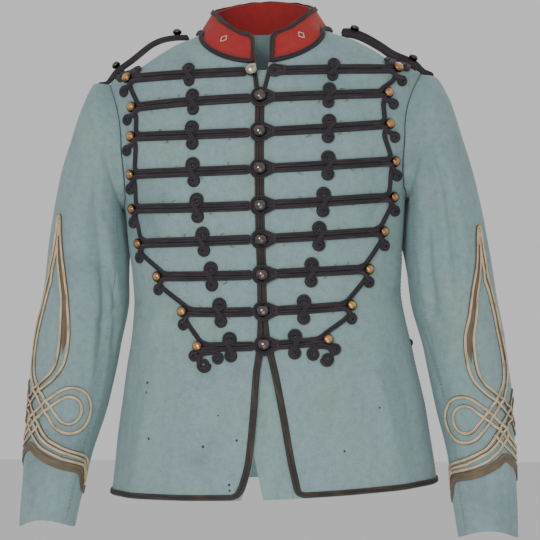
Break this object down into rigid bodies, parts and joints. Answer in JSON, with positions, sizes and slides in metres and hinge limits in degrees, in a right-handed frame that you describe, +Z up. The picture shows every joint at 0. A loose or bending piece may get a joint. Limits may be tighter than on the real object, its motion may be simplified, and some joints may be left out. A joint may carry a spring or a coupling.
{
  "type": "hussar jacket",
  "caption": "Hollow wool hussar jacket as worn, with a stand-up collar, corded frogging, ball buttons and braided cuff knots",
  "frame": {"origin": "the middle of the neck's base, between the shoulders that hold the jacket up", "axes": "+Z up, -Y the jacket's front, +X the wearer's left"},
  "size_m": [0.643, 0.2929, 0.6977],
  "materials": {
    "blue_wool": "napped wool cloth",
    "red_wool": "napped wool cloth",
    "dark_cord": "braided cord",
    "brown_braid": "flat worn braid",
    "gold_braid": "flat cream and gold braid",
    "band_braid": "flat brown braid",
    "brass_button": "worn polish",
    "bronze_button": "dark, worn"
  },
  "bodies": {
    "root": {"front_right": "blue_wool", "front_left": "blue_wool", "back_right": "blue_wool", "back_left": "blue_wool", "sleeve_top_right": "blue_wool", "sleeve_top_left": "blue_wool", "sleeve_under_right": "blue_wool", "sleeve_under_left": "blue_wool", "underlap": "blue_wool", "collar": "red_wool", "collar_base_cord": "dark_cord", "collar_edge_braid": "brown_braid", "edge_braid_right": "brown_braid", "edge_braid_left": "brown_braid", "frogging_right": "dark_cord", "frogging_left": "dark_cord", "shoulder_cord_right": "dark_cord", "shoulder_cord_left": "dark_cord", "cuff_knot_right": "gold_braid", "cuff_knot_left": "gold_braid", "cuff_band_right": "band_braid", "cuff_band_left": "band_braid", "centre_button_1": "bronze_button", "outer_button_right_1": "brass_button", "outer_button_left_1": "brass_button", "centre_button_2": "bronze_button", "outer_button_right_2": "brass_button", "outer_button_left_2": "brass_button", "centre_button_3": "bronze_button", "outer_button_right_3": "brass_button", "outer_button_left_3": "brass_button", "centre_button_4": "bronze_button", "outer_button_right_4": "brass_button", "outer_button_left_4": "brass_button", "centre_button_5": "bronze_button", "outer_button_right_5": "brass_button", "outer_button_left_5": "brass_button", "centre_button_6": "bronze_button", "outer_button_right_6": "brass_button", "outer_button_left_6": "brass_button", "centre_button_7": "bronze_button", "outer_button_right_7": "brass_button", "outer_button_left_7": "brass_button", "centre_button_8": "bronze_button", "outer_button_right_8": "brass_button", "outer_button_left_8": "brass_button", "centre_button_9": "bronze_button", "outer_button_right_9": "brass_button", "outer_button_left_9": "brass_button", "shoulder_button_right_neck": "bronze_button", "shoulder_button_right_arm": "bronze_button", "waist_button_right": "bronze_button", "shoulder_button_left_neck": "bronze_button", "shoulder_button_left_arm": "bronze_button", "waist_button_left": "bronze_button"}
  },
  "joints": []
}
